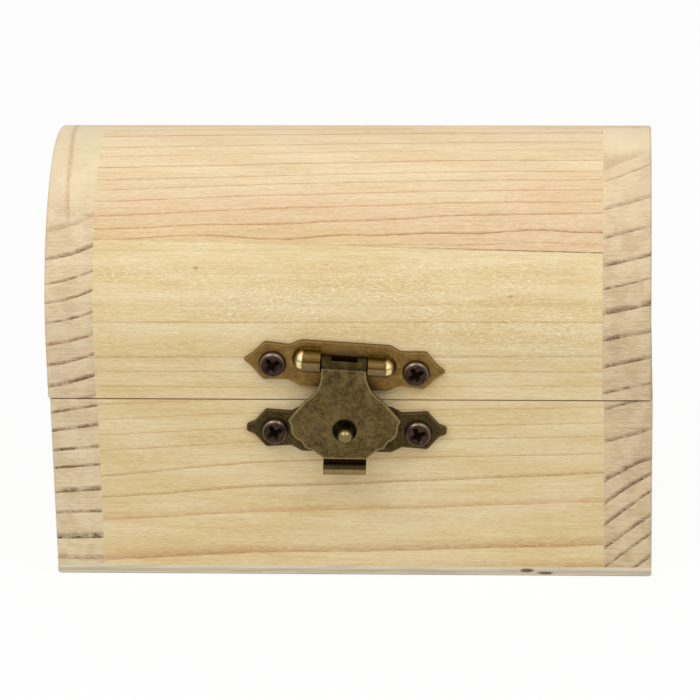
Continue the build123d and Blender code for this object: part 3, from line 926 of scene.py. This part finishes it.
def boss(side, swell):
    """One pressed boss, open towards the knuckle and flared at its foot. It swells upwards by a share."""
    shape = bmesh.new()
    angles = [math.radians(a) for a in range(0, 91, 9)]
    section = [(boss_radius * math.sin(angle), pin_out + boss_radius * math.cos(angle)) for angle in angles]
    line = [shape.verts.new((0, out, height)) for out, height in section + boss_flare]
    edges = [shape.edges.new(pair) for pair in zip(line, line[1:])]
    spun = bmesh.ops.spin(shape, geom=line + edges, cent=(0, 0, 0), axis=(0, 0, 1), angle=-math.pi, steps=16)
    for group in (edges, only(bmesh.types.BMEdge, spun["geom_last"])):
        drawn = bmesh.ops.extrude_edge_only(shape, edges=group)["geom"]
        bmesh.ops.translate(shape, verts=only(bmesh.types.BMVert, drawn), vec=(-ridge_length, 0, 0))
    closed(shape, 0.001)
    bmesh.ops.translate(shape, verts=shape.verts[:], vec=(boss_middle, pin_up, 0))
    if side < 0:
        bmesh.ops.scale(shape, verts=shape.verts[:], vec=(-1, 1, 1))
        bmesh.ops.reverse_faces(shape, faces=shape.faces[:])
    top = max(shape.faces, key=lambda face: face.calc_center_median().z)
    if top.normal.z < 0:
        bmesh.ops.reverse_faces(shape, faces=shape.faces[:])
    bmesh.ops.solidify(shape, geom=shape.faces[:], thickness=boss_wall)
    # Painted highlights: a little on the upper side, a little more on the right boss, more along the crest,
    # which is also worn, and brightest on the domed end.
    mark(shape, "worn", lambda place: place.z > 1.8 and place.y > 0.5, 0.06 if side > 0 else 0.04)
    mark(shape, "worn", lambda place: place.z > 2.2 and place.y < 0.85, 0.16)
    mark(shape, "worn", lambda place: place.z > 1.3 and place.y > -0.1 and abs(place.x) > 7.0, 0.95)
    # Grime in the crease at the foot, and painted shade on the lower side.
    mark(shape, "grime", lambda place: place.z < 1.0 or place.y < -0.75, 0.4)
    # A painted dark reflection: a thin line across the front of the ridge.
    mark(shape, "grime", lambda place: abs(place.y - 0.96) < 0.1 and place.z > 2.5, 0.75)
    for vertex in shape.verts:
        vertex.co.y += swell * (vertex.co.y + 1.0)
    return shape


for side, swell, word in ((-1, 0.22, "left"), (1, 0.0, "right")):
    piece(boss(side, swell), f"hasp_boss_{word}", "lid", ["hasp_plate"], hasp_place,
          metals["boss_brass"])

# %% [markdown]
# ## The flap
# The flap is one strip of sheet: a knuckle round the pin, a scalloped flat with a hole, and a finger tab.
# The flat is stamped first. Its top edge is then spun round the pin and its foot through two bends.
# Each curve of its outline is an arc through three points, because points can be read off the picture.

# %% Arcs and rims
def arc(first, middle, last, steps):
    """Points along the circle through three points, from the first up to the last."""
    (ax, ay), (bx, by), (cx, cy) = first, middle, last
    d = 2 * (ax * (by - cy) + bx * (cy - ay) + cx * (ay - by))
    a2, b2, c2 = ax * ax + ay * ay, bx * bx + by * by, cx * cx + cy * cy
    ox = (a2 * (by - cy) + b2 * (cy - ay) + c2 * (ay - by)) / d
    oy = (a2 * (cx - bx) + b2 * (ax - cx) + c2 * (bx - ax)) / d
    radius = math.hypot(ax - ox, ay - oy)
    start, end = math.atan2(ay - oy, ax - ox), math.atan2(cy - oy, cx - ox)
    sweep = (end - start + math.pi) % (2 * math.pi) - math.pi
    angles = [start + sweep * i / steps for i in range(steps + 1)]
    return [(ox + radius * math.cos(angle), oy + radius * math.sin(angle)) for angle in angles]


def with_rims(faces):
    """Some faces together with their edges and vertices, each once."""
    edges = {edge for face in faces for edge in face.edges}
    vertices = {vertex for face in faces for vertex in face.verts}
    in_order = [sorted(items, key=lambda item: item.index) for items in (edges, vertices)]
    return list(faces) + in_order[0] + in_order[1]


# %% The shape of the flap
knuckle_inside = 0.85
knuckle_turn_deg = 292
hole_drop = 11.1
hole_radius = 2.0
flap_foot = -16.2
foot_bends = [((0, flap_foot, 2.125), -80), ((0, -18.071, 1.795), 80)]
lip_length = 0.35


def flap():
    """The hasp flap, with the axis of its pin as the origin."""
    waist = arc((3.7, -1.2), (4.45, -3.75), (6.4, -5.8), 8)
    scallop = arc((8.85, -10.3), (8.65, -11.8), (7.2, -13.1), 6)
    half = [(2.05, 0.0), (3.7, 0.0), (3.7, -1.2), *waist[1:], (9.3, -9.3), (8.85, -10.3), *scallop[1:],
            (6.5, -14.3), (5.4, -14.7), (3.55, flap_foot)]
    outline = half + [(-px, py) for px, py in reversed(half)]
    shape = sheet(outline, 0.0, [ring_of(0, -hole_drop, hole_radius, 48)], base=knuckle_inside)
    shape.edges.index_update()
    shape.verts.index_update()
    head = [face for face in shape.faces if face.normal.y > 0.9 and face.calc_center_median().y > -0.01]
    bmesh.ops.spin(shape, geom=with_rims(head), cent=(0, 0, 0), axis=(1, 0, 0),
                   angle=math.radians(-knuckle_turn_deg), steps=36)
    bmesh.ops.remove_doubles(shape, verts=shape.verts[:], dist=0.001)
    slot = [face for face in shape.faces if abs(face.calc_center_median().x) < 1.0
            and 56 < math.degrees(math.atan2(*face.calc_center_median().yz)) < 110]
    bmesh.ops.delete(shape, geom=slot, context="FACES")
    bmesh.ops.bridge_loops(shape, edges=[edge for edge in shape.edges if edge.is_boundary])

    foot = [face for face in shape.faces if face.normal.y < -0.9 and face.calc_center_median().y < -16.1]
    for centre, bend_deg in foot_bends:
        bent = bmesh.ops.spin(shape, geom=with_rims(foot), cent=centre, axis=(1, 0, 0),
                              angle=math.radians(bend_deg), steps=8)
        foot = only(bmesh.types.BMFace, bent["geom_last"])
    lip = bmesh.ops.extrude_face_region(shape, geom=foot)["geom"]
    bmesh.ops.delete(shape, geom=[face for face in foot if face.is_valid], context="FACES_ONLY")
    bmesh.ops.translate(shape, verts=only(bmesh.types.BMVert, lip), vec=(0, -lip_length, 0))
    closed(shape, 0.001)
    return shape


flap_shape = flap()
print("flap open edges:", sum(1 for edge in flap_shape.edges if len(edge.link_faces) != 2))
print("flap from", min(v.co.y for v in flap_shape.verts), "to", max(v.co.y for v in flap_shape.verts))

# %% Wear, painted highlight and painted shade on the flap
def in_slot(place):
    """Whether a vertex lies in the slot of the knuckle or just round it."""
    around = math.degrees(math.atan2(place.y, place.z))
    return place.y > 0.6 and abs(place.x) < 2.25 and 50 < around < 120


flap_rim_round = 0.10
flap_worn_band = 0.30
soften(flap_shape, flap_rim_round)
framed(flap_shape, flap_worn_band, knuckle_inside + sheet_thickness)
framed(flap_shape, flap_worn_band, knuckle_inside, -1)
# Cuts across the sheet give rows of vertices for the painted highlight along the bend and for the edges of
# the slot's painted shade.
level_cuts = [((0, y, 0), (0, 1, 0)) for y in (0, -0.24, -0.46)]
upright_cuts = [((x, 0, 0), (1, 0, 0)) for x in (2.3, -2.3)]
for spot, across in level_cuts + upright_cuts:
    bmesh.ops.bisect_plane(flap_shape, geom=with_rims(flap_shape.faces[:]), plane_co=spot, plane_no=across)
mark(flap_shape, "worn", lambda place: place.y > -0.03, 0.1)
# A painted highlight along the bend below the knuckle.
mark(flap_shape, "worn", lambda place: abs(place.y + 0.24) < 0.03 and place.z > 1.3, 0.8)
mark(flap_shape, "worn", lambda place: math.hypot(place.x, place.y + hole_drop) < 2.4, 0.15)
# The knuckle is darkened: grime and painted shade under the plate, darkest inside the roll.
mark(flap_shape, "grime", lambda place: place.y > -0.03, 0.66)
mark(flap_shape, "grime", lambda place: math.hypot(place.y, place.z) < 0.9)
# Painted shade in the slot and on the sheet round it, where the wear is taken off.
mark(flap_shape, "worn", in_slot, 0.0)
mark(flap_shape, "grime", in_slot)
# Painted shade on the finger tab, deepest where the tab leaves the flat.
for low, amount in ((-99.0, 0.12), (-17.6, 0.9), (-16.9, 1.0)):
    mark(flap_shape, "grime", lambda place: low < place.y < -16.25, amount)

# %% [markdown]
# The whole hasp sits a little askew, but the flap hangs nearly straight down.
# So it turns back by a small angle, which grows over its first millimetres below the pin.

# %% Hang the flap
hang = math.radians(3.4)
hang_over = 2.5
for vertex in flap_shape.verts:
    share = min(1.0, max(0.0, -vertex.co.y / hang_over))
    vertex.co = Matrix.Rotation(hang * share, 3, "Z") @ vertex.co
piece(flap_shape, "hasp_flap_bent", "flap", ["hasp_flap"], pin_place,
      metals["flap_brass"])

# %% [markdown]
# ## The knob
# The knob was turned on a lathe: a rivet in the plate, a collar, a thin neck, and a ball for the flap's hole.
# Spinning its section once round is how a lathe makes it, and keeps the ball truly round.

# %% The knob
def turned(section):
    """A section of (radius, height) points, spun once round."""
    shape = bmesh.new()
    line = [shape.verts.new((radius, 0, height)) for radius, height in section]
    edges = [shape.edges.new(pair) for pair in zip(line, line[1:])]
    bmesh.ops.spin(shape, geom=line + edges, cent=(0, 0, 0), axis=(0, 0, 1), angle=2 * math.pi,
                   steps=48, use_merge=True)
    closed(shape, 0.0005)
    return shape


ball_radius = 1.3
ball_height = 4.4
ball_angles = [math.radians(a) for a in range(0, 145, 6)]
ball = [(ball_radius * math.sin(angle), ball_height + ball_radius * math.cos(angle)) for angle in ball_angles]
neck = [(0.75, 3.2), (0.75, 0.95), (0.9, 0.75)]
collar = [(1.35, 0.62), (1.5, 0.5), (1.5, 0.06), (1.42, 0.0)]
rivet = [(0.66, 0.0), (0.66, -0.65), (0.0, -0.65)]
knob = turned(ball + neck + collar + rivet)
mark(knob, "worn", lambda place: place.z > 4.6, 0.7)
mark(knob, "grime", lambda place: place.z < 3.3, 0.8)
knob_place = catch_place @ Matrix.Translation((0, knob_up, sheet_thickness))
piece(knob, "catch_knob_turned", "base", ["catch_knob"], knob_place,
      metals["knob_brass"])

# %% [markdown]
# ## The screws
# Four pan-head screws with a cross recess hold the plates, each stopped at its own turn.
# A screw is turned like the knob. The recess is a cut, so a Boolean modifier takes a tapered cross out of it.

# %% The cutter of the recess
def cross_cutter():
    """The tapered cross of the recess: its wide top is above the head, and its narrow end deep in it."""
    cutter = bmesh.new()
    levels = []
    for reach, half, height in ((1.9, 0.45, 1.6), (0.70, 0.18, 0.35)):
        corner = [(reach, -half), (reach, half), (half * 1.25, half * 1.25)]
        quarter_turns = ((1, 0), (0, 1), (-1, 0), (0, -1))
        around = [(px * c - py * s, px * s + py * c) for c, s in quarter_turns for px, py in corner]
        levels.append([cutter.verts.new((px, py, height)) for px, py in around])
    top, low = levels
    cutter.faces.new(top)
    cutter.faces.new(low[::-1])
    for i in range(len(top)):
        cutter.faces.new((top[i - 1], low[i - 1], low[i], top[i]))
    bmesh.ops.recalc_face_normals(cutter, faces=cutter.faces[:])
    return cutter


def as_object(shape, name):
    """A shape as an object for a while, because a Boolean modifier works between objects."""
    mesh = bpy.data.meshes.new(name)
    shape.to_mesh(mesh)
    shape.free()
    thing = bpy.data.objects.new(name, mesh)
    bpy.context.scene.collection.objects.link(thing)
    return thing


# %% The screws of the latch
pan_head = [(0.0, 1.3), (0.8, 1.28), (1.4, 1.18), (1.75, 1.04), (1.92, 0.93), (2.08, 0.76), (2.2, 0.52),
            (2.27, 0.26), (2.28, 0.12), (2.24, 0.0)]
shank = [(1.0, 0.0), (1.0, -6.2), (0.3, -7.4), (0.0, -7.6)]


def latch_screw():
    """A pan-head screw with its cross recess and a plain pointed shank, as a shape."""
    screw = as_object(turned(pan_head + shank), "screw_blank")
    cutter = as_object(cross_cutter(), "cross_cutter")
    cut = screw.modifiers.new("recess", "BOOLEAN")
    cut.operation = "DIFFERENCE"
    cut.solver = "EXACT"
    cut.object = cutter
    ready = screw.evaluated_get(bpy.context.evaluated_depsgraph_get()).to_mesh()
    shape = bmesh.new()
    shape.from_mesh(ready)
    for thing in (screw, cutter):
        bpy.data.objects.remove(thing, do_unlink=True)
    return shape


def screws(name, body, node, place, turns_deg):
    """Both screws of one plate."""
    both = bmesh.new()
    for side, turn_deg in zip((-1, 1), turns_deg):
        single = latch_screw()
        mark(single, "worn", lambda spot: 1.85 < math.hypot(spot.x, spot.y) < 2.15)
        mark(single, "grime", lambda spot: math.hypot(spot.x, spot.y) < 1.3 and 0.1 < spot.z < 0.6)
        seat = Matrix.Translation((side * screw_side, screw_up, sheet_thickness))
        single.transform(seat @ Matrix.Rotation(math.radians(turn_deg), 4, "Z"))
        mesh = bpy.data.meshes.new("single_screw")
        single.to_mesh(mesh)
        single.free()
        both.from_mesh(mesh)
        bpy.data.meshes.remove(mesh)
    piece(both, name, body, [node], place, metals["gunmetal"])


screws("hasp_screws_cross", "lid", "hasp_plate_screws", hasp_place, (38, 32))
screws("catch_screws_cross", "base", "catch_plate_screws", catch_place, (30, 24))

# %% [markdown]
# ## The hinges
# The photograph hides the back, so the two small butt hinges are the ones such boxes usually have.
# Their CAD solids have the right shape but knife-sharp rims: a merged copy of each gets rounded, worn rims.

# %% The hinges
small_face = 1.5e-6
leaf_rim_round = 0.08
pin_rim_round = 0.10
brad_rim_round = 0.26


def softened_copy(node, body, width, material, segments=2):
    """A copy of a CAD node with its loose triangles merged, its flats joined and its rims rounded."""
    shape = bmesh.new()
    shape.from_mesh(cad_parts[node].data)
    shape.transform(Matrix.Scale(1000, 4))
    bmesh.ops.remove_doubles(shape, verts=shape.verts[:], dist=0.0005)
    bmesh.ops.dissolve_limit(shape, angle_limit=math.radians(1.0), verts=shape.verts[:], edges=shape.edges[:])
    soften(shape, width, segments)
    thing = piece(shape, node + "_rounded", body, [node], Matrix.Scale(0.001, 4), material)
    for face in thing.data.polygons:
        face.use_smooth = face.area < small_face


for word in ("left", "right"):
    softened_copy(f"hinge_{word}_body_leaf", "base", leaf_rim_round, metals["hinge_brass"])
    softened_copy(f"hinge_{word}_lid_leaf", "lid", leaf_rim_round, metals["hinge_brass"])
    softened_copy(f"hinge_{word}_pin", "base", pin_rim_round, metals["boss_brass"])
softened_copy("hinge_brads_body", "base", brad_rim_round, metals["boss_brass"], 4)
softened_copy("hinge_brads_lid", "lid", brad_rim_round, metals["boss_brass"], 4)
# The pin's near-black colour is painted shade from inside the knuckle.
dress("hasp_pin", metals["pin_steel_shaded"])
